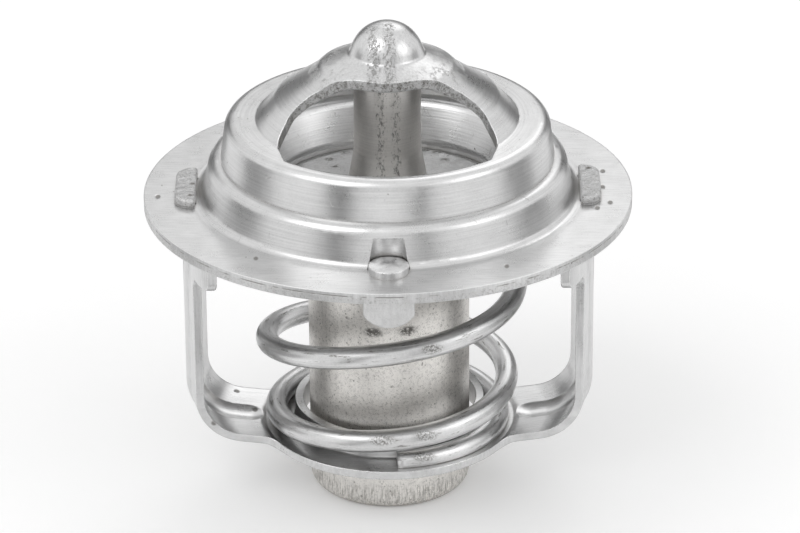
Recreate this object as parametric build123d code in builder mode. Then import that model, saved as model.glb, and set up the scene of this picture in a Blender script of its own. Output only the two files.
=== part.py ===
from build123d import *

import os
from math import cos, radians, sin, sqrt, tan

# Engine thermostat, in millimetres. The origin is the centre of the flange's upper face.
# +Z runs up through the bell, the bell's windows face -Y and +Y, and the legs stand at -X and +X.

# Flange, neck and valve seat, one pressing
flange_r = 27.0
flange_sheet = 1.2
neck_r = 20.64          # outside of the neck where it leaves the flange
neck_lean = 13.5        # degrees that the neck leans inwards
shelf_z = 4.3           # top of the neck, which carries the bell
seat_r = 13.15          # bore of the seat's lip
seat_edge_z = 0.3       # where the lip turns into the seat's slope
seat_angle = 58.0       # slope of the seat, degrees from level
flange_bend = 1.5       # bend radii on the middle of the sheet
shelf_bend = 0.7

# Upper bell, one pressing, with its profile on the middle of the sheet
bell_sheet = 1.0
nub_r = 4.1
nub_top_z = 19.95
nub_arc = 70.0          # degrees of the nub's round before it runs down to the boss
nub_foot = 1.06         # straight run from the round to the boss
boss_r, boss_z = 7.1, 14.6
collar_r, collar_z = 8.3, 13.4
brow_r, brow_z = 11.9, 11.0
shoulder_r, shoulder_z = 14.25, 8.3
skirt_top_r, skirt_top_z = 17.4, 8.25
skirt_foot_r = 17.9
nub_bend, boss_bend, collar_bend, brow_bend, skirt_bend = 1.0, 0.8, 0.8, 1.5, 0.65
window_r = 16.3         # outer arc of both windows
window_corner_x = 11.1
window_corner_r = 1.0
bridge_boss_y = 6.5     # the bridge's edge, from its boss out to its root
bridge_lip_x, bridge_lip_y = 3.2, 5.65
bridge_side_x, bridge_side_y = 5.2, 5.0
bridge_waist_x, bridge_waist_y = 7.7, 4.5
bridge_arm_x, bridge_arm_y = 10.0, 5.25
bridge_hip_x, bridge_hip_y = 11.05, 6.4
bridge_root_x, bridge_root_y = 11.9, 8.2

# Lower frame, one pressing
frame_sheet = 0.9
guide_hole_r = 9.75     # bore of the turned-up collar that guides the cup
guide_collar_z = -25.3
ring_top_z = -27.93
ring_r = 14.1
ring_bend = 0.7
step_run = 0.6          # the floor's step up from the ring
step_bend = 0.6
floor_step = 0.3
floor_tilt = 7.5        # degrees that the leg's floor rises outwards
leg_in_r = 21.5
leg_bend = 4.85
leg_half = 5.9
leg_root_fillet = 3.0
wing_half = 10.5
wing_z = -7.7
wing_fillet = 1.2
tab_half = 3.5
slot_clearance = 0.08
head_inset = 0.3        # how far a head reaches in over its tab
head_length = 9.2
head_depth = 2.3
head_thick = 0.9
head_corner, head_nick = 1.9, 0.35
head_round = 0.3
rib_half = 2.2
rib_spread = 0.63       # how much wider the rib is outside than inside, on each side
rib_depth = 0.5
rib_top_z = -6.0
rib_run = 5.5           # the rib's reach in from the leg, along the floor

# Valve disc
disc_sheet = 1.0
disc_top_z = -0.25
disc_flat_r = 12.7
disc_cone = 40.0        # degrees
disc_foot_r = 14.9
disc_r = 16.9
disc_bend = 1.1
valve_gap = 0.08        # between the closed disc and the seat's lip

# Spring
wire = 2.5
spring_low_r = 12.03    # radii of the coil's middle
spring_high_r = 15.46
end_tip = 1.5           # wire left at the ground tip
points_per_turn = 16
# The coil's turn count from the front, with the share of its height that it has climbed there
coil_climb = [
    (0.01, 0.0), (0.5, 0.023), (0.75, 0.053), (1.0, 0.134), (1.25, 0.206), (1.5, 0.281),
    (1.75, 0.416), (2.0, 0.599), (2.25, 0.689), (2.5, 0.778), (2.75, 0.874), (3.0, 0.955),
    (3.15, 0.981), (3.35, 0.991), (3.55, 1.0),
]

# Wax element
piston_r = 2.0
piston_clearance = 0.03
guide_r = 3.7
guide_top_z = 13.8
guide_taper_z = 5.2
stake_r = 4.6           # collar of the guide staked over the disc
stake_height = 0.6
waist_r = 4.25
hole_clearance = 0.06
guide_step_r = 6.2
cup_r = 9.0
cup_wall = 0.9
cup_floor = 1.0
cup_bottom_z = -35.4
cup_bend = 1.3
cup_step = 0.5          # thicker wall below the diaphragm
clamp_top_z = -4.6      # guide's flange, clamped by the cup's rim
clamp_low_z = -8.6
lip_r = 7.0             # cup's rim after rolling over the flange
lip_rise = 0.5
diaphragm_thick = 1.2
dish_r = 5.4
dish_depth = 1.4
funnel_top_z = -4.4
plug_length = 6.0
washer_thick = 0.8
tip_chamfer = 0.5

# Vent pin
pin_gap = 0.86          # from the neck's foot to the pin's axis
pin_hole_r = 1.25
pin_shank_r = 0.85
pin_head_r = 2.15
pin_head_thick = 1.3
pin_dome = 0.5          # part of the head's height that is domed
pin_float = 1.5
paddle_width = 5.5
paddle_thick = 1.0
paddle_low_z = -6.4
paddle_corner = 1.5
paddle_shoulder, paddle_tip = 0.4, 0.8
pocket_r = 2.35
pocket_z = 3.1
pocket_wall = 0.9

os.makedirs("parts", exist_ok=True)

# Heights and radii that follow from the sizes above
flange_mid_z = -flange_sheet / 2
shelf_mid_z = shelf_z - flange_sheet / 2
pin_y = -(neck_r + pin_gap)
stake_z = disc_top_z + stake_height
head_in_x = leg_in_r - head_inset
rib_end_x = leg_in_r - rib_run
neck_run = tan(radians(neck_lean))
neck_mid = flange_sheet / 2 / cos(radians(neck_lean))
seat_mid = flange_sheet / 2 / sin(radians(seat_angle))
seat_slope = tan(radians(seat_angle))
cone_slope = tan(radians(disc_cone))
lip_low_z = disc_top_z - (seat_r - disc_flat_r) * cone_slope + valve_gap
brim_top_z = disc_top_z - (disc_foot_r - disc_flat_r) * cone_slope
brim_low_z = brim_top_z - disc_sheet
leg_mid_r = leg_in_r + frame_sheet / 2
ring_mid_z = ring_top_z - frame_sheet / 2
floor_slope = tan(radians(floor_tilt))
floor_start_r = ring_r + step_run
corner_z = ring_mid_z + floor_step + (leg_mid_r - floor_start_r) * floor_slope


# Flange with its neck and seat: one strip of sheet turned about the axis
seat_points = [
    (flange_r, flange_mid_z),
    (neck_r - flange_mid_z * neck_run - neck_mid, flange_mid_z),
    (neck_r - shelf_mid_z * neck_run - neck_mid, shelf_mid_z),
    (seat_r + (shelf_mid_z - seat_edge_z) / seat_slope + seat_mid, shelf_mid_z),
    (seat_r + flange_sheet / 2, seat_edge_z + (flange_sheet / 2 - seat_mid) * seat_slope),
    (seat_r + flange_sheet / 2, lip_low_z),
]
with BuildPart() as flange_seat:
    with BuildSketch(Plane.XZ):
        with BuildLine():
            FilletPolyline(*seat_points, radius=[flange_bend, shelf_bend, shelf_bend, shelf_bend])
        trace(line_width=flange_sheet)
    revolve(axis=Axis.Z)
    # A pocket pressed into the neck makes room for the vent pin's head
    with BuildSketch(Plane.XY.offset(-flange_sheet)):
        with Locations((0, pin_y)):
            Circle(pocket_r + pocket_wall)
        Circle(neck_r - flange_sheet, mode=Mode.INTERSECT)
    extrude(amount=flange_sheet + pocket_z + pocket_wall)
    with BuildSketch(Plane.XY):
        with Locations((0, pin_y)):
            Circle(pocket_r)
    extrude(amount=pocket_z, mode=Mode.SUBTRACT)
    with BuildSketch(Plane.XY.offset(-flange_sheet)):
        with Locations((0, pin_y)):
            Circle(pin_hole_r)
    extrude(amount=flange_sheet, mode=Mode.SUBTRACT)
    # Slots for the two tabs of the lower frame
    with BuildSketch(Plane.XY.offset(-flange_sheet)):
        Circle(leg_in_r + frame_sheet + slot_clearance)
        Circle(leg_in_r - slot_clearance, mode=Mode.SUBTRACT)
        Rectangle(3 * flange_r, 2 * (tab_half + slot_clearance), mode=Mode.INTERSECT)
    extrude(amount=flange_sheet, mode=Mode.SUBTRACT)
flange_seat.part.label = "flange_seat"
export_step(flange_seat.part, "parts/flange_seat.step")


# Upper bell: nub, boss, sloping bridge, shoulder and skirt, then the two windows
with BuildPart() as upper_bell:
    with BuildSketch(Plane.XZ):
        with BuildLine():
            nub = JernArc((0, nub_top_z - bell_sheet / 2), (1, 0), nub_r - bell_sheet / 2, -nub_arc)
            FilletPolyline(
                nub @ 1,
                nub @ 1 + (nub % 1) * nub_foot,
                (boss_r, boss_z),
                (collar_r, collar_z),
                (brow_r, brow_z),
                (shoulder_r, shoulder_z),
                (skirt_top_r, skirt_top_z),
                (skirt_foot_r, shelf_z),
                (skirt_foot_r + (skirt_foot_r - skirt_top_r) / 6, shelf_z - (skirt_top_z - shelf_z) / 6),
                radius=[nub_bend, boss_bend, collar_bend, brow_bend, skirt_bend, skirt_bend, 0],
            )
        trace(line_width=bell_sheet)
    revolve(axis=Axis.Z)
    split(bisect_by=Plane.XY.offset(shelf_z), keep=Keep.TOP)
    with BuildSketch(Plane.XY.offset(shelf_z)) as window:
        with BuildLine():
            corner = (window_corner_x, -sqrt(window_r**2 - window_corner_x**2))
            edge = Spline(
                (0, -bridge_boss_y),
                (bridge_lip_x, -bridge_lip_y),
                (bridge_side_x, -bridge_side_y),
                (bridge_waist_x, -bridge_waist_y),
                (bridge_arm_x, -bridge_arm_y),
                (bridge_hip_x, -bridge_hip_y),
                (bridge_root_x, -bridge_root_y),
                tangents=[(1, 0), (0, -1)],
            )
            Line(edge @ 1, corner)
            RadiusArc(corner, (0, -window_r), window_r)
            mirror(about=Plane.YZ)
        make_face()
        fillet(window.vertices().group_by(Axis.Y)[1], window_corner_r)
        mirror(about=Plane.XZ)
    extrude(amount=nub_top_z, mode=Mode.SUBTRACT)
upper_bell.part.label = "upper_bell"
export_step(upper_bell.part, "parts/upper_bell.step")


# Lower frame: a turned strip of sheet, cut to a ring with two legs
with BuildPart() as frame_outline:
    with BuildSketch(Plane.XY.offset(ring_top_z - 2 * frame_sheet)) as plan:
        Circle(ring_r)
        Rectangle(2 * (leg_in_r + 2 * frame_sheet), 2 * leg_half)
        fillet(plan.vertices().filter_by_position(Axis.X, -ring_r, ring_r), leg_root_fillet)
    extrude(amount=2 * frame_sheet - ring_top_z + (ring_top_z + wing_z) / 2)
    with BuildSketch(Plane.YZ) as side:
        with BuildLine():
            low_z = (ring_top_z + wing_z) / 2
            Polyline(
                (0, low_z),
                (leg_half, low_z),
                (leg_half, wing_z),
                (wing_half, wing_z),
                (wing_half, -flange_sheet),
                (tab_half, -flange_sheet),
                (tab_half, 0),
                (0, 0),
            )
            mirror(about=Plane.YZ)
        make_face()
        fillet(side.vertices().group_by(Axis.Y)[1], wing_fillet)
    extrude(amount=leg_in_r + 2 * frame_sheet, both=True)

frame_points = [
    (guide_hole_r + frame_sheet / 2, guide_collar_z),
    (guide_hole_r + frame_sheet / 2, ring_mid_z),
    (ring_r, ring_mid_z),
    (floor_start_r, ring_mid_z + floor_step),
    (leg_mid_r, corner_z),
    (leg_mid_r, 0),
]
with BuildPart() as lower_frame:
    with BuildSketch(Plane.YZ):
        with BuildLine():
            FilletPolyline(*frame_points, radius=[ring_bend, step_bend, step_bend, leg_bend])
        trace(line_width=frame_sheet)
    revolve(axis=Axis.Z)
    add(frame_outline.part, mode=Mode.INTERSECT)
    # Tab ends peened over into D-shaped heads
    with BuildSketch(Plane.XY):
        with BuildLine():
            FilletPolyline(
                (head_in_x, -head_length / 2),
                (head_in_x + head_depth, -head_length / 2),
                (head_in_x + head_depth, head_length / 2),
                (head_in_x, head_length / 2),
                close=True,
                radius=[head_nick, head_corner, head_corner, head_nick],
            )
        make_face()
        mirror(about=Plane.YZ)
    extrude(amount=head_thick)
    fillet(lower_frame.edges().group_by(Axis.Z)[-1], head_round)
    # A rib pressed outwards runs down each leg and round its corner, and ends round on the floor
    inner_z = corner_z + frame_sheet / 2 / cos(radians(floor_tilt))
    rib_end_z = inner_z - (leg_mid_r - rib_end_x) * floor_slope
    with BuildLine() as rib_path:
        FilletPolyline(
            (leg_in_r, 0, rib_top_z),
            (leg_in_r, 0, inner_z - frame_sheet / 2 * floor_slope),
            (rib_end_x, 0, rib_end_z),
            radius=leg_bend - frame_sheet / 2,
        )
    rib_end_plane = Plane(origin=(rib_end_x, 0, rib_end_z), x_dir=(1, 0, floor_slope), z_dir=(0, -1, 0))
    outside = (rib_half + rib_spread, frame_sheet / 2, rib_depth + frame_sheet, Mode.ADD)
    inside = (rib_half, -rib_depth / 2, rib_depth, Mode.SUBTRACT)
    for half, chord, crest, mode in (outside, inside):
        rise = crest - chord
        bow_r = (half**2 + rise**2) / (2 * rise)
        with BuildSketch(Plane.XY.offset(rib_top_z)) as rib_section:
            with BuildLine():
                arc = ThreePointArc((leg_in_r + chord, -half), (leg_in_r + crest, 0), (leg_in_r + chord, half))
                Line(arc @ 1, arc @ 0)
            make_face()
        with BuildSketch(rib_end_plane) as rib_end:
            with BuildLine():
                bow = RadiusArc((0, -crest), (-half, -chord), bow_r)
                Polyline(bow @ 1, (0, -chord), bow @ 0)
            make_face()
        run = sweep(rib_section.sketch, path=rib_path.wire(), mode=Mode.PRIVATE)
        cap = revolve(rib_end.sketch, axis=Axis(rib_end_plane.origin, rib_end_plane.y_dir), mode=Mode.PRIVATE)
        for solid in (run, cap):
            add(solid, mode=mode)
            add(solid.rotate(Axis.Z, 180), mode=mode)
lower_frame.part.label = "lower_frame"
export_step(lower_frame.part, "parts/lower_frame.step")


# Spring: round wire with ground ends, its heights read at the turns listed above
def climb(turn):
    """Share of the coil's height at a turn, smooth between the listed turns."""
    place = 1
    while place < len(coil_climb) - 2 and coil_climb[place + 1][0] < turn:
        place += 1
    place = place - 1 if turn < coil_climb[place][0] else place
    (low_turn, low), (high_turn, high) = coil_climb[place], coil_climb[place + 1]
    span = high_turn - low_turn
    before = coil_climb[max(place - 1, 0)]
    after = coil_climb[min(place + 2, len(coil_climb) - 1)]
    low_slope = (high - before[1]) / (high_turn - before[0])
    high_slope = (after[1] - low) / (after[0] - low_turn)
    part = (turn - low_turn) / span
    return (
        low * (1 + 2 * part) * (1 - part) ** 2
        + high * part**2 * (3 - 2 * part)
        + low_slope * span * part * (1 - part) ** 2
        - high_slope * span * part**2 * (1 - part)
    )


spring_foot_z = ring_top_z + end_tip - wire / 2
spring_head_z = brim_low_z - end_tip + wire / 4
first_turn, last_turn = coil_climb[0][0], coil_climb[-1][0]


def coil_point(turn):
    """Middle of the wire, counted in turns from the front."""
    height = spring_foot_z + (spring_head_z - spring_foot_z) * climb(turn)
    radius = spring_low_r + (spring_high_r - spring_low_r) * turn / last_turn
    angle = radians(360 * turn - 90)
    return (radius * cos(angle), radius * sin(angle), height)


coil_steps = round((last_turn - first_turn) * points_per_turn)
coil_turns = [first_turn + (last_turn - first_turn) * step / coil_steps for step in range(coil_steps + 1)]
with BuildPart() as main_spring:
    with BuildLine() as coil:
        Spline(*[coil_point(turn) for turn in coil_turns])
    with BuildSketch(Plane(origin=coil.line @ 0, z_dir=coil.line % 0)):
        Circle(wire / 2)
    sweep(path=coil.line, is_frenet=True)
    split(bisect_by=Plane.XY.offset(ring_top_z), keep=Keep.TOP)
    split(bisect_by=Plane.XY.offset(brim_low_z), keep=Keep.BOTTOM)
main_spring.part.label = "main_spring"
export_step(main_spring.part, "parts/main_spring.step")


# Valve disc: flat centre, conical rim that meets the seat, and a brim that caps the spring
rim_shift = disc_sheet / 2 * tan(radians(disc_cone / 2))
with BuildPart() as valve_disc:
    with BuildSketch(Plane.XZ):
        with BuildLine():
            FilletPolyline(
                (waist_r + hole_clearance, disc_top_z - disc_sheet / 2),
                (disc_flat_r - rim_shift, disc_top_z - disc_sheet / 2),
                (disc_foot_r - rim_shift, brim_top_z - disc_sheet / 2),
                (disc_r, brim_top_z - disc_sheet / 2),
                radius=[disc_bend, disc_bend],
            )
        trace(line_width=disc_sheet)
    revolve(axis=Axis.Z)
valve_disc.part.label = "valve_disc"
export_step(valve_disc.part, "parts/valve_disc.step")


# Guide: turned sleeve for the piston, staked over the disc and clamped in the cup
bore_r = piston_r + piston_clearance
disc_low_z = disc_top_z - disc_sheet
cup_in_r = cup_r - cup_wall
with BuildPart() as guide:
    with BuildSketch(Plane.XZ) as guide_section:
        with BuildLine():
            Polyline(
                (bore_r, guide_top_z),
                (guide_r, guide_top_z),
                (guide_r, guide_taper_z),
                (stake_r, stake_z),
                (stake_r, disc_top_z),
                (waist_r, disc_top_z),
                (waist_r, disc_low_z),
                (guide_step_r, disc_low_z),
                (guide_step_r, clamp_top_z),
                (cup_in_r, clamp_top_z),
                (cup_in_r, clamp_low_z),
                (dish_r, clamp_low_z),
                (bore_r, funnel_top_z),
                close=True,
            )
        make_face()
        chamfer(guide_section.vertices().group_by(Axis.Y)[-1], 0.3)
    revolve(axis=Axis.Z)
guide.part.label = "guide"
export_step(guide.part, "parts/guide.step")


# Cup: drawn shell with a thicker lower wall, its rim rolled over the guide's flange
ledge_z = clamp_low_z - diaphragm_thick
cup_low_r = cup_in_r - cup_step
lip_low = clamp_top_z
with BuildPart() as wax_cup:
    with BuildSketch(Plane.XZ) as cup_section:
        with BuildLine():
            Polyline(
                (0, cup_bottom_z),
                (cup_r, cup_bottom_z),
                (cup_r, lip_low + cup_wall),
                (lip_r, lip_low + cup_wall + lip_rise),
                (lip_r, lip_low),
                (cup_in_r, lip_low),
                (cup_in_r, ledge_z),
                (cup_low_r, ledge_z),
                (cup_low_r, cup_bottom_z + cup_floor),
                (0, cup_bottom_z + cup_floor),
                close=True,
            )
        make_face()
        outer = cup_section.vertices().group_by(Axis.X)[-1]
        fillet(outer.sort_by(Axis.Y)[0], cup_bend)
        fillet(cup_section.vertices().group_by(Axis.X)[-1].sort_by(Axis.Y)[-1], cup_wall / 2)
        inner = cup_section.vertices().filter_by_position(Axis.X, cup_low_r - 0.01, cup_low_r + 0.01)
        fillet(inner.sort_by(Axis.Y)[0], cup_bend - cup_wall / 2)
    revolve(axis=Axis.Z)
wax_cup.part.label = "wax_cup"
export_step(wax_cup.part, "parts/wax_cup.step")


# Diaphragm: rubber sheet clamped at its rim, dished in the middle
with BuildPart() as diaphragm:
    with BuildSketch(Plane.XZ):
        with BuildLine():
            Polyline(
                (0, clamp_low_z - dish_depth),
                (dish_r / 2, clamp_low_z - dish_depth),
                (dish_r, clamp_low_z),
                (cup_in_r, clamp_low_z),
                (cup_in_r, ledge_z),
                (dish_r, ledge_z),
                (dish_r / 2, ledge_z - dish_depth),
                (0, ledge_z - dish_depth),
                close=True,
            )
        make_face()
    revolve(axis=Axis.Z)
diaphragm.part.label = "diaphragm"
export_step(diaphragm.part, "parts/diaphragm.step")


# Wax: fills the cup below the diaphragm
with BuildPart() as wax_charge:
    with BuildSketch(Plane.XZ) as wax_section:
        with BuildLine():
            Polyline(
                (0, cup_bottom_z + cup_floor),
                (cup_low_r, cup_bottom_z + cup_floor),
                (cup_low_r, ledge_z),
                (dish_r, ledge_z),
                (dish_r / 2, ledge_z - dish_depth),
                (0, ledge_z - dish_depth),
                close=True,
            )
        make_face()
        low = wax_section.vertices().group_by(Axis.X)[-1]
        fillet(low.sort_by(Axis.Y)[0], cup_bend - cup_wall / 2)
    revolve(axis=Axis.Z)
wax_charge.part.label = "wax_charge"
export_step(wax_charge.part, "parts/wax_charge.step")


# Soft filling between the diaphragm and the plug
with BuildPart() as transfer_fluid:
    with BuildSketch(Plane.XZ):
        with BuildLine():
            Polyline(
                (0, clamp_low_z - dish_depth),
                (dish_r / 2, clamp_low_z - dish_depth),
                (dish_r, clamp_low_z),
                (bore_r, funnel_top_z),
                (0, funnel_top_z),
                close=True,
            )
        make_face()
    revolve(axis=Axis.Z)
transfer_fluid.part.label = "transfer_fluid"
export_step(transfer_fluid.part, "parts/transfer_fluid.step")


# Rubber plug, backup washer and piston stand on each other in the guide's bore
with BuildPart() as rubber_plug:
    with BuildSketch(Plane.XY.offset(funnel_top_z)):
        Circle(bore_r)
    extrude(amount=plug_length)
rubber_plug.part.label = "rubber_plug"
export_step(rubber_plug.part, "parts/rubber_plug.step")

washer_low_z = funnel_top_z + plug_length
with BuildPart() as backup_washer:
    with BuildSketch(Plane.XY.offset(washer_low_z)):
        Circle(piston_r)
    extrude(amount=washer_thick)
backup_washer.part.label = "backup_washer"
export_step(backup_washer.part, "parts/backup_washer.step")

# The piston's chamfered tip centres itself in the round of the nub
nub_in_r = nub_r - bell_sheet
tip_r = piston_r - tip_chamfer
piston_low_z = washer_low_z + washer_thick
piston_top_z = nub_top_z - nub_r + sqrt(nub_in_r**2 - piston_r**2) + tip_chamfer / 2
with BuildPart() as piston:
    with BuildSketch(Plane.XY.offset(piston_low_z)):
        Circle(piston_r)
    extrude(amount=piston_top_z - piston_low_z)
    chamfer(piston.edges().group_by(Axis.Z)[-1], tip_chamfer)
piston.part.label = "piston"
export_step(piston.part, "parts/piston.step")


# Vent pin: domed head above the flange, shank through its hole, flattened paddle below
paddle_top_z = -flange_sheet - pin_float
dome_r = (pin_head_r**2 + pin_dome**2) / (2 * pin_dome)
with BuildPart() as jiggle_pin:
    with Locations((0, pin_y, 0)):
        Cylinder(pin_head_r, pin_head_thick - pin_dome, align=(Align.CENTER, Align.CENTER, Align.MIN))
        Cylinder(pin_shank_r, -paddle_top_z, align=(Align.CENTER, Align.CENTER, Align.MAX))
    with BuildSketch(Plane((0, pin_y, 0), x_dir=(1, 0, 0), z_dir=(0, -1, 0))):
        with BuildLine():
            dome = ThreePointArc(
                (pin_head_r, pin_head_thick - pin_dome),
                (pin_head_r / 2, pin_head_thick - dome_r + sqrt(dome_r**2 - pin_head_r**2 / 4)),
                (0, pin_head_thick),
            )
            Polyline(dome @ 1, (0, pin_head_thick - pin_dome), dome @ 0)
        make_face()
    revolve(axis=Axis((0, pin_y, 0), (0, 0, 1)))
    with BuildSketch(Plane((0, pin_y + paddle_thick / 2, 0), x_dir=(1, 0, 0), z_dir=(0, -1, 0))) as paddle:
        with BuildLine():
            half = paddle_width / 2
            Polyline(
                (-half, paddle_low_z + paddle_corner),
                (-half, paddle_top_z),
                (half, paddle_top_z),
                (half, paddle_low_z + paddle_corner),
            )
            ThreePointArc(
                (half, paddle_low_z + paddle_corner),
                (0, paddle_low_z),
                (-half, paddle_low_z + paddle_corner),
            )
        make_face()
        fillet(paddle.vertices().group_by(Axis.Y)[0], paddle_tip)
        fillet(paddle.vertices().group_by(Axis.Y)[-1], paddle_shoulder)
    extrude(amount=paddle_thick)
jiggle_pin.part.label = "jiggle_pin"
export_step(jiggle_pin.part, "parts/jiggle_pin.step")
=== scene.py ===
from math import cos, pi, radians, sin

import bmesh
import bpy
from mathutils import Matrix, Vector


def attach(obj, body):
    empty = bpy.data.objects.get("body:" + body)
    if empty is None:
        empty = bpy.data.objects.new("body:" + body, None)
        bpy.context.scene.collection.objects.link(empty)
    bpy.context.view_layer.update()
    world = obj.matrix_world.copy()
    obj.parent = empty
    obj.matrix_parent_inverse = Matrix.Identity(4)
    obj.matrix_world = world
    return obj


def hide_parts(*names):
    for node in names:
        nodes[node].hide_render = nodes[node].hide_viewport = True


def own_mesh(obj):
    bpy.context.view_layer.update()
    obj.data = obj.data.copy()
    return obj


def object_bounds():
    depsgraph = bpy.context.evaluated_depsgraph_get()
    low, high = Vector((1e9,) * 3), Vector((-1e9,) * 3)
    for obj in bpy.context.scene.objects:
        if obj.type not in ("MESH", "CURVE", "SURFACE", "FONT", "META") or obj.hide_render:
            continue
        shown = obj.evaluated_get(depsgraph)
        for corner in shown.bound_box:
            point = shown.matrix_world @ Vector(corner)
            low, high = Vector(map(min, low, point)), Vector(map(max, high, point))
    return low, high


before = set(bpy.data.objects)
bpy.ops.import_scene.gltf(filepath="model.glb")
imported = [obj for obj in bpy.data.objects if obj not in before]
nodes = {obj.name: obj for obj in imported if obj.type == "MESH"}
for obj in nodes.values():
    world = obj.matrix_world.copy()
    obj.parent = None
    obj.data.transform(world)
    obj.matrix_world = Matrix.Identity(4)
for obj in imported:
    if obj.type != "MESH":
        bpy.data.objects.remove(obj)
cadLow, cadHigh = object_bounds()
mm = 0.001
print("frame loaded:", len(nodes), "nodes")


# Camera, where the photograph was taken from
camera = {
    "distance": 0.5,                # metres from the flange's centre
    "elevation": 24.1,              # degrees above the flange
    "roll": -0.41,
    "lens": 203.33,
    "sensor": 36.0,
    "clip": (0.05, 20),
    "picture": (800, 533),
    "flangePixel": (388.6, 189.3),  # where the flange's centre falls in the picture
}


def addCamera(look):
    wide, high = look["picture"]
    focal = look["lens"] / look["sensor"] * wide
    lift, roll = radians(look["elevation"]), radians(look["roll"])
    place = Vector((0, -cos(lift), sin(lift))) * look["distance"]
    toFlange = -place.normalized()
    level = Vector((1, 0, 0))
    aside = (look["flangePixel"][0] - wide / 2) / focal
    below = (look["flangePixel"][1] - high / 2) / focal
    ahead = (toFlange - level * aside + level.cross(toFlange) * below).normalized()
    right = ahead.cross(Vector((0, 0, 1))).normalized()
    up = right.cross(ahead)
    rolledRight = right * cos(roll) + up * sin(roll)
    rolledUp = up * cos(roll) - right * sin(roll)
    lens = bpy.data.cameras.new("camera")
    lens.lens = look["lens"]
    lens.sensor_width = look["sensor"]
    lens.clip_start, lens.clip_end = look["clip"]
    made = bpy.data.objects.new("camera", lens)
    turned = Matrix((rolledRight, rolledUp, -ahead)).transposed().to_4x4()
    made.matrix_world = Matrix.Translation(place) @ turned
    bpy.context.collection.objects.link(made)
    bpy.context.scene.camera = made


addCamera(camera)
bpy.context.scene.view_settings.view_transform = "Standard"
print("camera placed")


# Shader maths: one socket of a node tree, with the usual operators
class Shade:
    def __init__(self, tree, socket=None):
        self.tree = tree
        self.socket = socket

    def node(self, kind, settings=(), values=(), out=0):
        made = self.tree.nodes.new("ShaderNode" + kind)
        for name, value in dict(settings).items():
            setattr(made, name, value)
        for name, value in dict(values).items():
            if isinstance(value, Shade):
                self.tree.links.new(value.socket, made.inputs[name])
            else:
                made.inputs[name].default_value = value
        return Shade(self.tree, made.outputs[out])

    def maths(self, operation, *values):
        return self.node("Math", {"operation": operation}, enumerate(values))

    def vector(self, operation, other, out=0):
        return self.node("VectorMath", {"operation": operation}, {0: self, 1: other}, out)

    def __add__(self, other):
        if self.socket.type == "VECTOR":
            return self.vector("ADD", other)
        return self.maths("ADD", self, other)

    def __sub__(self, other):
        return self.maths("SUBTRACT", self, other)

    def __rsub__(self, other):
        return self.maths("SUBTRACT", other, self)

    def __mul__(self, other):
        if self.socket.type == "VECTOR":
            return self.vector("MULTIPLY", other)
        return self.maths("MULTIPLY", self, other)

    def __pow__(self, other):
        return self.maths("POWER", self, other)

    __radd__ = __add__
    __rmul__ = __mul__

    def size(self):                                     # without its sign
        return self.maths("ABSOLUTE", self)

    def most(self, other):                              # the greater of the two
        return self.maths("MAXIMUM", self, other)

    def parts(self):                                    # x, y and z of a vector
        split = self.node("SeparateXYZ", (), {0: self})
        return [Shade(self.tree, split.socket.node.outputs[axis]) for axis in range(3)]

    def ramp(self, low, high):                          # 0 below low, 1 above high, smooth between
        steps = {"interpolation_type": "SMOOTHSTEP"}
        return self.node("MapRange", steps, {"Value": self, "From Min": low, "From Max": high})

    def fade(self, low, high):                          # 1 below low, 0 above high
        return 1 - self.ramp(low, high)

    def band(self, low, middle, high):                  # 1 at middle, 0 below low and above high
        return self.ramp(low, middle) * self.fade(middle, high)

    def noise(self, scale, detail=4.0, rough=0.55):     # scale is in lumps per millimetre
        values = {"Vector": self, "Scale": scale, "Detail": detail, "Roughness": rough}
        return self.node("TexNoise", (), values)

    def steer(self, low, high):                         # the direction low where self is 0, high where 1
        return self.node("Mix", {"data_type": "VECTOR"}, {0: self, 4: low, 5: high}, 1)

    def blend(self, low, high):                         # the colour low where self is 0, high where it is 1
        return self.node("Mix", {"data_type": "RGBA"}, {0: self, 6: low, 7: high}, 2)

    def coat(self, colour, level, warmth, share):       # a grey laid over the colour where self is 1
        return (self * share).blend(colour, grey(level, warmth))


def join(x, y, z):
    tree = next(part for part in (x, y, z) if isinstance(part, Shade))
    return tree.node("CombineXYZ", (), {0: x, 1: y, 2: z})


def weigh(shares, *parts):                              # the parts added up, each by its share
    total = parts[0] * shares[0]
    for share, part in zip(shares[1:], parts[1:]):
        total = total + part * share
    return total


def grey(level, warmth=0.0, blueLoss=1.6):              # a colour near grey, warmer towards brass
    return (level * (1 + warmth), level, level * (1 - blueLoss * warmth), 1)


# Masks that the finishes share. A noise is lumps per millimetre, detail and roughness
masks = {
    "samples": 6,
    "edge": (0.8, 0.99),            # how far a rounded normal agrees with the flat one
    "corner": (0.1, 0.85),          # how open a corner is
    "reflectionStretch": (1, 1, 0.5),
    "reflectionNoise": (2.8, 6.0, 0.9),
    "reflectionRange": (0.56, 0.64),
    "reflectionDensity": 0.07,             # how much denser the painted reflection streak is along its middle
    "reflectionReach": 1.3,                # where the last flecks end, in half widths
    "reflectionRim": (0.0, 0.3),
    "reflectionFront": (-0.6, 0.0),        # painted reflection streaks lie in front of this depth only
    "core": 0.4,                    # share of a mark's size that is at full strength
    "lotStep": 0.01,
    "scratchStretch": (0.12, 4.0, 0.6),
    "scratchNoise": (1.0, 2.0, 0.5),
    "scratchRange": (0.73, 0.76),
}


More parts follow.
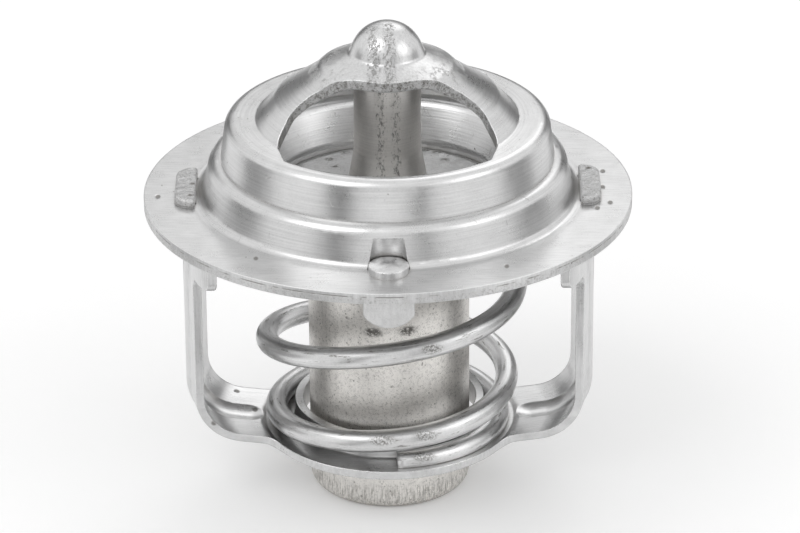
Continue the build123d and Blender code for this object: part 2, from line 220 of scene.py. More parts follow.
# Surface coordinates, all in millimetres
class Surface:
    def __init__(self, name):
        self.material = bpy.data.materials.new(name)
        self.material.use_nodes = True
        tree = self.material.node_tree
        self.shader = tree.nodes["Principled BSDF"]
        self.start = Shade(tree)
        metres = self.start.node("TexCoord", out="Object")
        self.place = metres * (1 / mm, 1 / mm, 1 / mm)
        self.x, self.y, self.z = self.place.parts()
        self.radius = (self.x * self.x + self.y * self.y) ** 0.5
        facing = self.start.node("TexCoord", out="Normal")
        self.level = facing.parts()[2].size()           # 1 on level faces, 0 on upright ones

    def rings(self, fine, drift):                       # lines that run round the axis
        across = join(self.radius * fine, self.z * fine, 0)
        return across + self.place * (drift, drift, 0)

    def edges(self, width):                             # a rounded normal, and 1 on edges
        rounded = self.start.node("Bevel", {"samples": masks["samples"]}, {"Radius": width * mm})
        flat = self.start.node("NewGeometry", out="Normal")
        return rounded, rounded.vector("DOT_PRODUCT", flat, "Value").fade(*masks["edge"])

    def crevices(self, reach):                          # 1 deep in corners, by ambient occlusion; the finishes paint shade there with it
        samples = {"samples": masks["samples"]}
        clear = self.start.node("AmbientOcclusion", samples, {"Distance": reach * mm}, "AO")
        return clear.fade(*masks["corner"])

    def reflectionStreaks(self, places):                             # dark speckled streaks painted down the front, where edges of reflections fall; x and half width
        band = None
        for middle, half in places:
            near = (self.x - middle).size().fade(0.0, half * masks["reflectionReach"])
            band = near if band is None else band.most(near)
        speckle = (self.place * masks["reflectionStretch"]).noise(*masks["reflectionNoise"])
        flecks = (speckle + band * masks["reflectionDensity"]).ramp(*masks["reflectionRange"])
        return flecks * band.ramp(*masks["reflectionRim"]) * self.y.fade(*masks["reflectionFront"])

    def pits(self, spacing, share, size):               # a few small pits, one in some of the cells
        values = {"Vector": self.place, "Scale": 1 / spacing}
        near = self.start.node("TexVoronoi", (), values)
        lot = Shade(near.tree, near.socket.node.outputs["Color"]).parts()[0]
        return near.fade(size * masks["core"], size) * lot.fade(share, share + masks["lotStep"])

    def dents(self, places, size, stretch=(1, 1, 1)):   # marks at chosen places, longer by stretch
        squeeze = [1 / share for share in stretch]
        squeezed = self.place * squeeze
        found = None
        for place in places:
            middle = [along * share for along, share in zip(place, squeeze)]
            dent = squeezed.vector("DISTANCE", middle, "Value").fade(size * masks["core"], size)
            found = dent if found is None else found.most(dent)
        return found

    def scratches(self, angle):                         # thin lines along one direction of the flat faces
        turned = self.start.node("VectorRotate", {"rotation_type": "Z_AXIS"},
                                 {"Vector": self.place, "Angle": radians(angle)})
        lines = (turned * masks["scratchStretch"]).noise(*masks["scratchNoise"])
        return lines.ramp(*masks["scratchRange"])

    def finish(self, colour, rough, height, normal=None, metallic=1.0):
        values = {"Height": height, "Distance": mm, "Strength": 1.0}
        if normal:
            values["Normal"] = normal
        bump = self.start.node("Bump", (), values)
        links = {"Base Color": colour, "Roughness": rough, "Normal": bump}
        for name, value in links.items():
            self.material.node_tree.links.new(value.socket, self.shader.inputs[name])
        self.shader.inputs["Metallic"].default_value = metallic
        return self.material


# Studio: white floor and surround, soft lamps, and dark cards that only metal sees
studio = {
    "floorHalf": 4.0,
    "floorGrey": 0.92,
    "floorShine": 0.1,
    "floorGlow": 0.16,              # lifts the floor to white for the camera, and keeps the shadow
    "matt": 0.9,                    # roughness of the floor and cards
    "surround": 0.74,               # light that the white surround gives
    "lamps": {                      # place, width, power
        "keyLamp": ((-0.60, -0.50, 0.95), 0.8, 2.9),
        "fillLamp": ((0.85, -0.40, 0.65), 0.6, 1.2),
        "backLamp": ((0.20, 0.85, 0.75), 0.6, 1.0),
    },
    "cards": {                      # degrees from the camera, degrees wide, nearest reach, height and grey
        "cardFrontLeft": (-31, 15, 0.045, 0.40, 0.06),
        "cardFrontRight": (21, 9, 0.045, 0.42, 0.06),
        "cardLeft": (-96, 28, 0.075, 0.15, 0.34),
        "cardRight": (96, 28, 0.075, 0.15, 0.34),
        "cardBackRight": (150, 16, 0.06, 0.30, 0.10),
        "cardBackLeft": (-150, 16, 0.06, 0.30, 0.10),
        "cardBack": (180, 46, 0.55, 0.26, 0.22),
    },
    "cardReach": 0.75,
    "cardLift": 0.0005,             # cards that lie on the floor clear it by this
}


def seenDirectly(start):                                # 1 for the camera, mirrors and glass
    path = start.node("LightPath").socket.node
    seen, mirrored, through = [Shade(start.tree, path.outputs[name]) for name in
                               ("Is Camera Ray", "Is Glossy Ray", "Is Transmission Ray")]
    return seen.most(mirrored).most(through)


def mattPaint(name, level):
    paint = bpy.data.materials.new(name)
    paint.use_nodes = True
    shader = paint.node_tree.nodes["Principled BSDF"]
    shader.inputs["Base Color"].default_value = grey(level)
    shader.inputs["Roughness"].default_value = studio["matt"]
    return paint, shader


def addPanel(name, corners, material):
    mesh = bpy.data.meshes.new(name)
    mesh.from_pydata(corners, [], [range(len(corners))])
    mesh.materials.append(material)
    made = bpy.data.objects.new(name, mesh)
    bpy.context.collection.objects.link(made)
    return made


def addStudio(look):
    world = bpy.data.worlds.new("surround")
    bpy.context.scene.world = world
    world.use_nodes = True
    strength = seenDirectly(Shade(world.node_tree)) * (1 - look["surround"]) + look["surround"]
    background = world.node_tree.nodes["Background"]
    background.inputs["Color"].default_value = grey(1)
    world.node_tree.links.new(strength.socket, background.inputs["Strength"])

    paper, shader = mattPaint("floorPaper", look["floorGrey"])
    shader.inputs["Specular IOR Level"].default_value = look["floorShine"]
    shader.inputs["Emission Strength"].default_value = 1.0
    glow = seenDirectly(Shade(paper.node_tree)) * look["floorGlow"]
    paper.node_tree.links.new(glow.socket, shader.inputs["Emission Color"])
    half, low = look["floorHalf"], cadLow.z
    addPanel("floor", [(-half, -half, low), (half, -half, low), (half, half, low), (-half, half, low)], paper)

    for name, (place, width, power) in look["lamps"].items():
        lamp = bpy.data.lights.new(name, "AREA")
        lamp.shape, lamp.size, lamp.energy = "SQUARE", width, power
        made = bpy.data.objects.new(name, lamp)
        made.location = place
        made.rotation_euler = (-Vector(place)).to_track_quat("-Z", "Y").to_euler()
        bpy.context.collection.objects.link(made)

    foot = low + look["cardLift"]
    for name, (turn, width, near, top, tone) in look["cards"].items():
        paint, _ = mattPaint(name, tone)
        sides = [radians(turn - 90 + share * width) for share in (-0.5, 0.5)]
        corners = [[(reach * cos(side), reach * sin(side)) for side in sides]
                   for reach in (near, look["cardReach"])]
        (nearLeft, nearRight), (farLeft, farRight) = corners
        lying = [(*nearLeft, foot), (*nearRight, foot), (*farRight, foot), (*farLeft, foot)]
        standing = [(*farLeft, foot), (*farRight, foot), (*farRight, top), (*farLeft, top)]
        for part, outline in (("Lying", lying), ("Standing", standing)):
            card = addPanel(name + part, outline, paint)
            card.visible_camera = card.visible_diffuse = card.visible_shadow = False


addStudio(studio)
print("studio set")


# Pressed stainless sheet: flange, bell, frame, disc and pin. A coat is a grey, its warmth and its share
steel = {
    "light": 0.74,
    "dark": 0.54,
    "cloudy": (0.35, 3.0),
    "speckle": (6.0, 5.0, 0.7),
    "grain": (1.0, 4.0, 0.6),
    "tone": (0.45, 0.3, 0.25),      # shares of grain, speckle and cloudy
    "toneRange": (0.3, 0.7),
    # dirt in the marks, and on the bell the dark of the painted reflection streaks
    "dirtAndReflection": (0.16, 0.06, 0.75),
    "cornerShadeAndStain": (0.34, 0.05, 0.55),    # painted shade and grime in corners, made blotchy by noise
    "cornerShadeAndStainRange": (0.2, 0.6),
    "worn": (0.9, 0.0, 0.7),        # on edges polished by handling
    "rough": 0.20,
    "roughMore": (0.09, 0.09, 0.2, 0.25, -0.05),    # by speckle, cloudy, corner, marks and edge
    "edgeWidth": 0.22,
    "cornerReach": 1.1,
    "grainDepth": 0.004,            # depths in millimetres
    "drawDepth": 0.010,
    "markDepth": 0.05,
}


def steelFinish(surface, lines, marks, depth, roughMore=0.0, relief=0.0):
    # lines is the direction of the pressing's grain, marks the pits and dents, and on the bell also painted
    # reflection streaks
    cloudy = surface.place.noise(*steel["cloudy"])
    speckle = surface.place.noise(*steel["speckle"])
    grain = lines.noise(*steel["grain"])
    rounded, edge = surface.edges(steel["edgeWidth"])
    corner = surface.crevices(steel["cornerReach"])
    tone = weigh(steel["tone"], grain, speckle, cloudy).ramp(*steel["toneRange"])
    colour = tone.blend(grey(steel["dark"]), grey(steel["light"]))
    colour = marks.coat(colour, *steel["dirtAndReflection"])
    # painted shade: colour darkened deep in corners by ambient occlusion, with grime blotches
    colour = (corner * cloudy.ramp(*steel["cornerShadeAndStainRange"])).coat(colour, *steel["cornerShadeAndStain"])
    colour = edge.coat(colour, *steel["worn"])
    rough = weigh(steel["roughMore"], speckle, cloudy, corner, marks, edge) + steel["rough"] + roughMore
    height = grain * depth + speckle * steel["grainDepth"] - marks * steel["markDepth"] + relief
    return surface.finish(colour, rough, height, rounded)


# Lines are counted per millimetre, pits are spacing, share of cells and size, and rings are lines and drift
flange = {
    "neckFoot": (21.6, 22.4),       # radii between which the grain turns to run round the neck
    "rim": (26.90, 26.93),          # radii of the sheared rim
    "rolled": (0.35, 5.0, 5.0),
    "drawn": (5.0, 0.12),
    "sheared": (3.0, 3.0, 0.6),
    "pits": (1.4, 0.10, 0.10),
    "scratches": {24: 0.3, -61: 0.25},              # degrees and strength
    "shearLine": -0.42,             # the rim is burnished above this height and torn below
    "shearReach": (0.03, 0.10),
    "shearNoise": (0.5, 3.0),
    "shearRange": (0.45, 0.6),
    "tornTop": (-0.52, -0.42),
    "tornNoise": (4.0, 5.0, 0.8),
    "tornRange": (0.5, 0.66),
    "rimMarks": (0.8, 0.5),         # strength of the shear line and of the torn part
    "rimRough": 0.15,
    "dents": [(23.97, 4.59, 0), (23.75, 0.25, 0), (22.9, -5.4, 0), (24.4, -3.95, 0), (-25.4, -1.4, 0),
              (-14.2, -17.8, 0), (12.6, -20.3, 0)],
    "dentSize": 0.36,
    "dentStretch": (1, 1.9, 1),
}


def flangeFinish(look):
    surface = Surface("flangeSteel")
    onNeck = surface.radius.fade(*look["neckFoot"])
    onRim = surface.radius.ramp(*look["rim"])
    lines = onNeck.steer(surface.place * look["rolled"], surface.rings(*look["drawn"]))
    lines = onRim.steer(lines, surface.place * look["sheared"])
    marks = surface.pits(*look["pits"]) + surface.dents(look["dents"], look["dentSize"], look["dentStretch"])
    for angle, strength in look["scratches"].items():
        marks = marks + surface.scratches(angle) * strength
    shear = (surface.z - look["shearLine"]).size().fade(*look["shearReach"])
    shear = shear * surface.place.noise(*look["shearNoise"]).ramp(*look["shearRange"])
    torn = surface.z.fade(*look["tornTop"]) * surface.place.noise(*look["tornNoise"])
    marks = marks + onRim * weigh(look["rimMarks"], shear, torn.ramp(*look["tornRange"]))
    depth = onNeck * steel["drawDepth"] + steel["grainDepth"] + onRim * steel["drawDepth"]
    return steelFinish(surface, lines, marks, depth, onRim * look["rimRough"])


bell = {
    "nub": (13.5, 15.0),            # heights between which the draw marks turn to run down the nub
    "drawn": (4.0, 0.15),
    "down": (4.0, 4.0, 0.35),
    "nubDepth": 0.004,
    "pits": (1.1, 0.12, 0.11),
    "scratchAngle": 38,
    "marks": (0.3, 0.75, 0.45, 0.85),               # strength of scratches, painted reflection streaks, scuffs and torn lips
    "reflectionStreaks": [(-1.45, 0.8), (0.25, 0.75)],
    "reflectionFoot": (12.5, 13.0),        # heights between which the painted reflection streaks end
    "scuffNoise": (1.3, 5.0, 0.75),
    "scuffBand": (0.53, 0.60, 0.66),
    "boss": (8.0, 9.0),             # radii where the scuffed boss round the nub ends
    "bossTop": (15.0, 16.5),
    "lipInside": (5.0, 5.3),        # the windows' sheared edges lie between these radii
    "lipOutside": (12.4, 12.8),
    "lipTilt": (0.25, 0.45),
    "tornNoise": (2.4, 5.0, 0.8),
    "tornRange": (0.47, 0.58),
    "lipRough": 0.1,
    "tornDepth": 0.18,
}


def bellFinish(look):
    surface = Surface("bellSteel")
    onNub = surface.z.ramp(*look["nub"])
    lines = onNub.steer(surface.rings(*look["drawn"]), surface.place * look["down"])
    # painted reflection: dark speckled streaks down the nub's front, where edges of reflections fall
    reflectionStreaksAndSmears = surface.reflectionStreaks(look["reflectionStreaks"]) * surface.z.ramp(*look["reflectionFoot"])
    onBoss = surface.radius.fade(*look["boss"]) * surface.z.fade(*look["bossTop"])
    scuffs = surface.place.noise(*look["scuffNoise"]).band(*look["scuffBand"]) * onBoss
    onLip = surface.level.fade(*look["lipTilt"]) * surface.radius.ramp(*look["lipInside"])
    onLip = onLip * surface.radius.fade(*look["lipOutside"])
    torn = onLip * surface.place.noise(*look["tornNoise"])
    marks = surface.pits(*look["pits"]) + weigh(
        look["marks"], surface.scratches(look["scratchAngle"]), reflectionStreaksAndSmears, scuffs, torn.ramp(*look["tornRange"]))
    depth = onNub * look["nubDepth"] + steel["drawDepth"]
    return steelFinish(surface, lines, marks, depth, onLip * look["lipRough"], torn * look["tornDepth"])


legs = {
    "headFoot": (0.05, 0.20),       # the peened heads stand above this height
    "floorTop": (-24.0, -22.0),     # the grain turns from the floor to the legs here
    "down": (5.0, 5.0, 0.35),
    "along": (0.35, 5.0, 1.0),
    "hammered": (0.9, 3.0, 0.6),
    "hammeredRange": (0.35, 0.6),
    "crushed": (3.2, 4.0, 0.75),
    "crushedRange": (0.5, 0.62),
    "scars": 0.75,
    "headRelief": (0.45, 0.22),     # by the hammered and crushed parts
    "headRough": 0.12,
    "pits": (1.6, 0.14, 0.12),
    "dents": [(-17.42, 4.73, -27.16), (-15.29, 1.12, -27.78), (-19.68, -5.9, -25.81), (-21.62, 0.0, 0.84),
              (-21.75, -3.1, 0.84), (22.3, 3.4, 0.84)],
    "dentSize": 0.42,
}


def frameFinish(look):
    surface = Surface("frameSteel")
    onHead = surface.z.ramp(*look["headFoot"])
    onLeg = surface.z.ramp(*look["floorTop"])
    lines = onLeg.steer(surface.place * look["along"], surface.place * look["down"])
    hammered = surface.place.noise(*look["hammered"])
    crushed = surface.place.noise(*look["crushed"])
    scars = crushed.ramp(*look["crushedRange"]) * hammered.ramp(*look["hammeredRange"]) * onHead
    marks = surface.pits(*look["pits"]) + surface.dents(look["dents"], look["dentSize"])
    marks = marks + scars * look["scars"]
    relief = weigh(look["headRelief"], hammered, crushed) * onHead
    return steelFinish(surface, lines, marks, steel["drawDepth"], onHead * look["headRough"], relief)


disc = {
    "pits": (1.2, 0.16, 0.11),
    "drawn": (6.0, 0.08),
    "wet": (0.7, 5.0, 0.7),
    "driedBand": (0.50, 0.54, 0.60),                # rings left where coolant dried
    "dried": 0.22,
    "ragged": (2.2, 5.0, 0.8),
    "raggedRange": (0.44, 0.54),
    "dents": [(5.57, 10.79, -0.25), (4.22, 11.37, -0.25), (-4.81, 10.99, -0.25), (-6.6, 9.0, -0.25),
              (-5.9, 7.1, -0.25), (6.4, 8.6, -0.25)],
    "dentSize": 0.6,
    "dentStretch": (1.2, 1, 1),
}


def discFinish(look):
    surface = Surface("discSteel")
    dried = surface.place.noise(*look["wet"]).band(*look["driedBand"])
    spots = surface.dents(look["dents"], look["dentSize"], look["dentStretch"])
    spots = spots * surface.place.noise(*look["ragged"]).ramp(*look["raggedRange"])
    marks = surface.pits(*look["pits"]) + spots + dried * look["dried"]
    return steelFinish(surface, surface.rings(*look["drawn"]), marks, steel["drawDepth"])


pin = {
    "paddle": (-2.6, -2.3),         # the shank is flattened below this height
    "flattened": (1.4, 4.0, 0.65),
    "flattenedRange": (0.56, 0.7),
    "flattenedMarks": 0.3,
    "paddleRelief": 0.16,
    "paddleRough": 0.10,
    "pits": (0.8, 0.2, 0.12),
    "lines": (2.5, 2.5, 1.0),
    "depth": 0.012,
}


def pinFinish(look):
    surface = Surface("pinSteel")
    onPaddle = surface.z.fade(*look["paddle"])
    flattened = surface.place.noise(*look["flattened"])
    pitted = surface.pits(*look["pits"]) * (1 - onPaddle)
    marks = pitted + flattened.ramp(*look["flattenedRange"]) * onPaddle * look["flattenedMarks"]
    relief = flattened * onPaddle * look["paddleRelief"]
    lines = surface.place * look["lines"]
    return steelFinish(surface, lines, marks, look["depth"], onPaddle * look["paddleRough"], relief)


# Wax element: cup, guide and piston
cup = {
    "light": (0.90, 0.025),
    "dark": (0.70, 0.025),
    "speckle": (3.4, 7.0, 0.8),
    "speckleRange": (0.53, 0.63),
    "cloudy": (0.22, 3.0),
    "drawnLines": (2.4, 2.4, 0.05),
    "drawn": (1.0, 4.0, 0.6),
    "tone": (0.5, 0.2, 0.3),        # shares of speckle, drawn and cloudy
    "toneRange": (0.34, 0.66),
    "pits": (0.7, 0.34, 0.20),
    "coarsePits": (1.7, 0.30, 0.13),
    "specks": (0.55, 0.7),          # strength of speckle and pits
    "speckCoat": (0.20, 0.04, 1.0),
    "fleck": (2.0, 8.0, 0.95),
    "fleckRange": (0.53, 0.60),
    "fleckCoat": (0.22, 0.04, 0.7),
    "mottle": (1.9, 6.0, 0.85),
    "mottleRange": (0.52, 0.62),
    "mottleCoat": (0.42, 0.025, 0.35),
    "foot": (-33.4, -32.0),         # streaks from the die show below this height
    "streakLines": (5.2, 5.2, 0.55),
    "streaks": (1.0, 5.0, 0.8),
    "streakRange": (0.48, 0.58),
    "streakCoat": (0.24, 0.05, 0.7),
    # dark patches painted on the cup's front below the paddle: painted shade of the paddle
    "paddleShadeSpots": [(-1.85, -8.8, -13.3), (2.05, -8.75, -13.15)],
    "paddleShadeSize": 0.75,
    "paddleShadeStretch": (2.0, 1, 1),
    "paddleShadeNoise": (2.6, 6.0, 0.8),
    "paddleShadeRange": (0.38, 0.52),
    "paddleShadeCoat": (0.10, 0.05, 0.9),
    "cornerReach": 1.0,
    "cornerShadeCoat": (0.24, 0.08, 0.6),
    "edgeWidth": 0.3,
    "edgeCoat": (0.86, 0.025, 0.6),
    "rough": 0.28,
    "roughMore": (0.16, 0.12, 0.15, -0.08),         # by speckle, cloudy, painted paddle shade and edge
    "heights": (0.012, 0.012, 0.018, -0.03),        # of speckle, drawn, streaks and pits
}


def cupFinish(look):
    surface = Surface("cupMetal")
    nearFoot = surface.z.fade(*look["foot"])
    streaks = (surface.place * look["streakLines"]).noise(*look["streaks"])
    drawn = (surface.place * look["drawnLines"]).noise(*look["drawn"])
    speckle = surface.place.noise(*look["speckle"])
    cloudy = surface.place.noise(*look["cloudy"])
    paddleShade = surface.dents(look["paddleShadeSpots"], look["paddleShadeSize"], look["paddleShadeStretch"])
    paddleShade = paddleShade * surface.place.noise(*look["paddleShadeNoise"]).ramp(*look["paddleShadeRange"])
    spots = surface.pits(*look["pits"]) + surface.pits(*look["coarsePits"])
    rounded, edge = surface.edges(look["edgeWidth"])
    tone = weigh(look["tone"], speckle, drawn, cloudy).ramp(*look["toneRange"])
    colour = tone.blend(grey(*look["dark"]), grey(*look["light"]))
    specks = weigh(look["specks"], speckle.ramp(*look["speckleRange"]), spots)
    colour = specks.coat(colour, *look["speckCoat"])
    for layer in ("fleck", "mottle"):
        spread = surface.place.noise(*look[layer]).ramp(*look[layer + "Range"])
        colour = spread.coat(colour, *look[layer + "Coat"])
    colour = (nearFoot * streaks.ramp(*look["streakRange"])).coat(colour, *look["streakCoat"])
    # painted shade below the paddle, darkening the cup's front
    colour = paddleShade.coat(colour, *look["paddleShadeCoat"])
    # painted shade: colour darkened deep in corners by ambient occlusion
    colour = surface.crevices(look["cornerReach"]).coat(colour, *look["cornerShadeCoat"])
    colour = edge.coat(colour, *look["edgeCoat"])
    rough = weigh(look["roughMore"], speckle, cloudy, paddleShade, edge) + look["rough"]
    height = weigh(look["heights"], speckle, drawn, nearFoot * streaks, spots)
    return surface.finish(colour, rough, height, rounded)


guide = {
    "light": (0.92, 0.02),
    "dark": (0.76, 0.02),
    "toolRings": (7.0, 0.02),
    "tool": (1.0, 2.0, 0.4),
    "downLines": (2.6, 2.6, 0.22),
    "down": (1.0, 6.0, 0.8),
    "downRange": (0.56, 0.68),
    "speckle": (5.0, 6.0, 0.75),
    "speckleRange": (0.42, 0.6),
    "tone": (0.4, 0.4, 0.2),        # shares of tool, speckle and down
    "toneRange": (0.32, 0.68),
    "downCoat": (0.20, 0.04, 0.4),
    "reflectionStreaks": [(-0.68, 0.65), (0.92, 0.6)],
    "reflectionCoat": (0.16, 0.04, 0.8),
    "cornerReach": 1.4,
    "cornerShadeCoat": (0.34, 0.06, 0.5),
    "edgeWidth": 0.2,
    "edgeCoat": (0.88, 0.02, 0.6),
    "rough": 0.24,
    "roughMore": (0.14, 0.1),       # by speckle and down
    "heights": (0.02, 0.012),       # of tool and speckle
}


def guideFinish(look):
    surface = Surface("guideMetal")
    tool = surface.rings(*look["toolRings"]).noise(*look["tool"])
    down = (surface.place * look["downLines"]).noise(*look["down"])
    speckle = surface.place.noise(*look["speckle"])
    rounded, edge = surface.edges(look["edgeWidth"])
    tone = weigh(look["tone"], tool, speckle, down).ramp(*look["toneRange"])
    colour = tone.blend(grey(*look["dark"]), grey(*look["light"]))
    streaks = down.ramp(*look["downRange"]) * speckle.ramp(*look["speckleRange"])
    colour = streaks.coat(colour, *look["downCoat"])
    # painted reflection: dark speckled streaks down the guide's front, where edges of reflections fall
    colour = surface.reflectionStreaks(look["reflectionStreaks"]).coat(colour, *look["reflectionCoat"])
    # painted shade: colour darkened deep in corners by ambient occlusion
    colour = surface.crevices(look["cornerReach"]).coat(colour, *look["cornerShadeCoat"])
    colour = edge.coat(colour, *look["edgeCoat"])
    rough = weigh(look["roughMore"], speckle, down) + look["rough"]
    return surface.finish(colour, rough, weigh(look["heights"], tool, speckle), rounded)


piston = {
    "light": 0.78,
    "dark": 0.62,
    "groundRings": (12.0, 0.01),
    "ground": (1.0, 2.0, 0.5),
    "speckle": (6.0, 4.0),
    "tone": (0.6, 0.4),             # shares of ground and speckle
    "toneRange": (0.3, 0.7),
    "rough": 0.12,
    "depth": 0.006,
}


def pistonFinish(look):
    surface = Surface("pistonSteel")
    ground = surface.rings(*look["groundRings"]).noise(*look["ground"])
    speckle = surface.place.noise(*look["speckle"])
    tone = weigh(look["tone"], ground, speckle).ramp(*look["toneRange"])
    colour = tone.blend(grey(look["dark"]), grey(look["light"]))
    return surface.finish(colour, speckle * look["rough"] + look["rough"], ground * look["depth"])


# Soft pieces inside the element: dark and light colour, lumps per millimetre, roughness and depth
soft = {
    "coarse": (5.0, 0.65),          # detail and roughness of the noise
    "fine": (4.0, 0.7),
    "fineness": 6,                  # how much finer than the coarse one
    "tone": (0.6, 0.4),
    "toneRange": (0.35, 0.65),
    "roughMore": 0.2,
    "pieces": {
        "rubber_plug": ("plugRubber", grey(0.035), grey(0.075), 1.2, 0.45, 0.02),
        "diaphragm": ("diaphragmRubber", grey(0.03), grey(0.06), 1.6, 0.5, 0.02),
        "wax_charge": ("copperWax", (0.42, 0.24, 0.13, 1), (0.72, 0.50, 0.32, 1), 1.0, 0.5, 0.05),
        "transfer_fluid": ("grease", (0.62, 0.56, 0.40, 1), (0.80, 0.76, 0.62, 1), 0.5, 0.25, 0.03),
        "backup_washer": ("whitePlastic", grey(0.80), grey(0.92), 0.8, 0.3, 0.004),
    },
}


def softFinish(look, name, dark, light, lumps, rough, depth):
    surface = Surface(name)
    coarse = surface.place.noise(lumps, *look["coarse"])
    fine = surface.place.noise(lumps * look["fineness"], *look["fine"])
    colour = weigh(look["tone"], coarse, fine).ramp(*look["toneRange"]).blend(dark, light)
    height = weigh((depth, depth / 2), coarse, fine)
    return surface.finish(colour, fine * look["roughMore"] + rough, height, metallic=0.0)


finishes = {
    "flange_seat": flangeFinish(flange),
    "upper_bell": bellFinish(bell),
    "lower_frame": frameFinish(legs),
    "valve_disc": discFinish(disc),
    "jiggle_pin": pinFinish(pin),
    "wax_cup": cupFinish(cup),
    "guide": guideFinish(guide),
    "piston": pistonFinish(piston),
}
for name, values in soft["pieces"].items():
    finishes[name] = softFinish(soft, *values)
for name, finish in finishes.items():
    nodes[name].data.materials.clear()
    nodes[name].data.materials.append(finish)
print("finishes laid on", len(finishes), "nodes")


# Spring, wound from the same turns as the CAD coil, with UVs that run along the wire
spring = {
    "wire": 2.5,
    "lowRadius": 12.03,
    "highRadius": 15.46,
    "footHeight": -27.68,
    "headHeight": -3.971,
    "foot": -27.93,                 # ground flat here
    "head": -3.096,
    "climb": [                      # turns from the front, and the share of the height climbed there
        (0.01, 0.0), (0.5, 0.023), (0.75, 0.053), (1.0, 0.134), (1.25, 0.206), (1.5, 0.281),
        (1.75, 0.416), (2.0, 0.599), (2.25, 0.689), (2.5, 0.778), (2.75, 0.874), (3.0, 0.955),
        (3.15, 0.981), (3.35, 0.991), (3.55, 1.0),
    ],
    "ringsPerTurn": 80,
    "sides": 40,
    "glance": 0.25,                 # share of a ring's step over which the wire's direction is measured
    "stroke": 8.0,
    "sameSpot": 1e-7,               # corners nearer than this, in metres, count as one when it is ground
    "light": 0.80,
    "dark": 0.56,
    "drawnLines": (0.06, 4.0, 0),
    "drawn": (1.0, 4.0, 0.6),
    "smearLines": (0.35, 2.2, 0),
    "smeared": (1.0, 5.0, 0.7),
    "speckle": (4.5, 6.0, 0.75),
    "cloudy": (0.2, 3.0),
    "tone": (0.4, 0.3, 0.3),        # shares of drawn, speckle and cloudy
    "toneRange": (0.34, 0.66),
    "smearedRange": (0.56, 0.64),
    "speckleRange": (0.38, 0.52),
    "smearedCoat": (0.16, 0.05, 0.8),
    "smears": [(-0.9, -14.0, -24.0), (4.1, -13.6, -23.67), (4.8, -14.45, -12.7), (3.8, -12.45, -26.85)],
    "smearSize": 0.8,
    "smearStretch": (2.6, 1, 1),
    "smearRange": (0.44, 0.56),
    "smearCoat": (0.14, 0.05, 0.8),
    "cornerReach": 0.8,
    "cornerShadeCoat": (0.28, 0.05, 0.45),
    "edgeWidth": 0.2,
    "edgeCoat": (0.88, 0.0, 0.5),
    "pits": (0.9, 0.12, 0.12),
    "rough": 0.20,
    "roughMore": (0.14, 0.10, 0.12),                # by speckle, cloudy and smeared
    "roughRange": (0.5, 0.7),
    "heights": (0.022, 0.008, -0.04),               # of drawn, speckle and pits
}


def climbed(table, turn):
    place = max(index for index, entry in enumerate(table[:-1]) if entry[0] <= turn or index == 0)
    (lowTurn, low), (highTurn, high) = table[place], table[place + 1]
    before, after = table[max(place - 1, 0)], table[min(place + 2, len(table) - 1)]
    span, share = highTurn - lowTurn, (turn - lowTurn) / (highTurn - lowTurn)
    lowSlope = (high - before[1]) / (highTurn - before[0])
    highSlope = (after[1] - low) / (after[0] - lowTurn)
    return (low * (1 + 2 * share) * (1 - share) ** 2 + high * share**2 * (3 - 2 * share)
            + lowSlope * span * share * (1 - share) ** 2 - highSlope * span * share**2 * (1 - share))


def coilPoint(look, turn):
    lastTurn = look["climb"][-1][0]
    height = look["footHeight"] + (look["headHeight"] - look["footHeight"]) * climbed(look["climb"], turn)
    reach = look["lowRadius"] + (look["highRadius"] - look["lowRadius"]) * turn / lastTurn
    angle = 2 * pi * turn - pi / 2
    return Vector((reach * cos(angle), reach * sin(angle), height)) * mm


def grindFlat(form, height, upwards, sameSpot):         # cuts the wire off level and closes the cut
    cut = bmesh.ops.bisect_plane(
        form, geom=form.verts[:] + form.edges[:] + form.faces[:], dist=sameSpot,
        plane_co=(0, 0, height * mm), plane_no=(0, 0, 1 if upwards else -1), clear_outer=True)
    rim = [part for part in cut["geom_cut"] if isinstance(part, bmesh.types.BMEdge)]
    bmesh.ops.triangle_fill(form, edges=rim, use_beauty=True, use_dissolve=False)


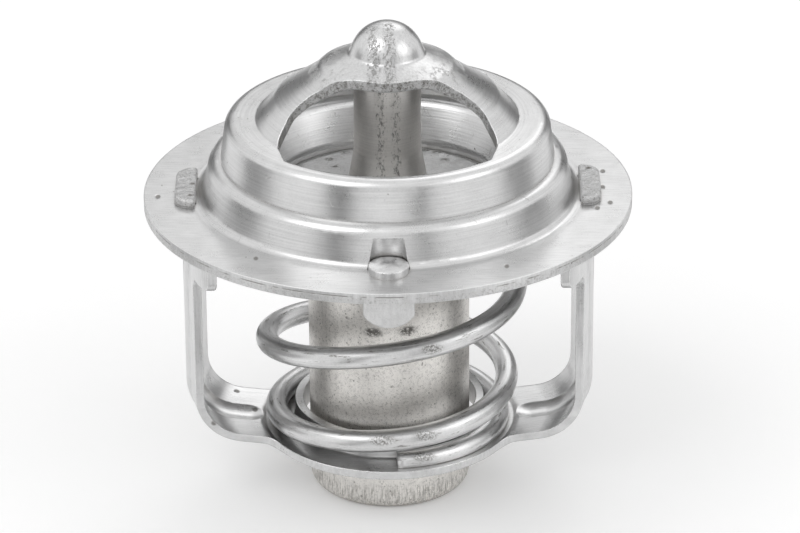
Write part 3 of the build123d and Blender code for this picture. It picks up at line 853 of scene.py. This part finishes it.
def addSpring(look):
    form = bmesh.new()
    uv = form.loops.layers.uv.new("wire")
    first, last = look["climb"][0][0], look["climb"][-1][0]
    count = round((last - first) * look["ringsPerTurn"])
    turns = [first + (last - first) * step / count for step in range(count + 1)]
    small = look["glance"] / look["ringsPerTurn"]
    sides = look["sides"]
    angles = [2 * pi * side / sides for side in range(sides)]
    rings = []
    for turn in turns:
        middle = coilPoint(look, turn)
        ahead = coilPoint(look, min(turn + small, last)) - coilPoint(look, max(turn - small, first))
        ahead.normalize()
        outwards = Vector((middle.x, middle.y, 0)).normalized()
        outwards = (outwards - ahead * outwards.dot(ahead)).normalized()
        upwards = ahead.cross(outwards)
        ways = [outwards * cos(angle) + upwards * sin(angle) for angle in angles]
        rings.append([form.verts.new(middle + way * look["wire"] / 2 * mm) for way in ways])
    alongWire = 2 * pi * look["lowRadius"]              # millimetres of wire to a turn
    for step in range(count):
        for side in range(sides):
            other = (side + 1) % sides
            face = form.faces.new((rings[step][side], rings[step + 1][side],
                                   rings[step + 1][other], rings[step][other]))
            face.smooth = True
            rounds = [side, side, side + 1, side + 1]
            steps = [step, step + 1, step + 1, step]
            for loop, around, along in zip(face.loops, rounds, steps):
                loop[uv].uv = (turns[along] * alongWire, around / sides * pi * look["wire"])
    form.faces.new(rings[0])
    form.faces.new(rings[-1][::-1])
    grindFlat(form, look["foot"], False, look["sameSpot"])
    grindFlat(form, look["head"], True, look["sameSpot"])
    bmesh.ops.recalc_face_normals(form, faces=form.faces)
    mesh = bpy.data.meshes.new("springWire")
    form.to_mesh(mesh)
    form.free()
    made = bpy.data.objects.new("springWire", mesh)
    bpy.context.collection.objects.link(made)
    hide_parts("main_spring")
    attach(made, "housing")
    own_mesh(made)
    return made


def wireFinish(look):
    surface = Surface("springSteel")
    alongWire = surface.start.node("UVMap", {"uv_map": "wire"})
    drawn = (alongWire * look["drawnLines"]).noise(*look["drawn"])
    smeared = (alongWire * look["smearLines"]).noise(*look["smeared"])
    speckle = surface.place.noise(*look["speckle"])
    cloudy = surface.place.noise(*look["cloudy"])
    rounded, edge = surface.edges(look["edgeWidth"])
    reflectionStreaksAndSmears = surface.dents(look["smears"], look["smearSize"], look["smearStretch"])
    reflectionStreaksAndSmears = reflectionStreaksAndSmears * speckle.ramp(*look["smearRange"])
    tone = weigh(look["tone"], drawn, speckle, cloudy).ramp(*look["toneRange"])
    colour = tone.blend(grey(look["dark"]), grey(look["light"]))
    dark = smeared.ramp(*look["smearedRange"]) * speckle.ramp(*look["speckleRange"])
    colour = dark.coat(colour, *look["smearedCoat"])
    colour = reflectionStreaksAndSmears.coat(colour, *look["smearCoat"])
    # painted shade: colour darkened deep in corners by ambient occlusion
    colour = surface.crevices(look["cornerReach"]).coat(colour, *look["cornerShadeCoat"])
    colour = edge.coat(colour, *look["edgeCoat"])
    rough = weigh(look["roughMore"], speckle, cloudy, smeared.ramp(*look["roughRange"])) + look["rough"]
    height = weigh(look["heights"], drawn, speckle, surface.pits(*look["pits"]))
    return surface.finish(colour, rough, height, rounded)


springWire = addSpring(spring)
springWire.data.materials.append(wireFinish(spring))
print("spring wound")
